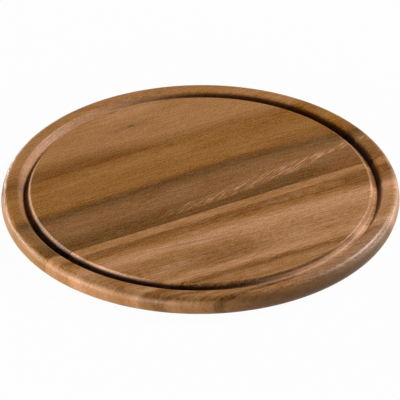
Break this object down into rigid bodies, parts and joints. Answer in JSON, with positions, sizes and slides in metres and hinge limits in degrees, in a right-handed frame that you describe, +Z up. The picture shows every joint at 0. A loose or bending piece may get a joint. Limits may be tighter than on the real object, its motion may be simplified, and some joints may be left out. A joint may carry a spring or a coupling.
{
  "type": "steak board",
  "caption": "Round wooden steak board of edge-glued staves with a flat serving face, a juice groove near the rim and a rounded edge.",
  "frame": {"origin": "centre of the flat underside, on the surface that the board rests on", "axes": "+X along the grain and the glue joints, +Y across the staves from front to back, +Z up"},
  "size_m": [0.3, 0.3, 0.016],
  "materials": {
    "front_stave_wood": "oiled satin",
    "middle_stave_wood": "oiled satin",
    "back_stave_wood": "oiled satin",
    "cured_glue": "matt"
  },
  "bodies": {
    "root": {"stave_front": "front_stave_wood", "stave_middle": "middle_stave_wood", "stave_back": "back_stave_wood", "glue_line_front": "cured_glue", "glue_line_back": "cured_glue"}
  },
  "joints": []
}
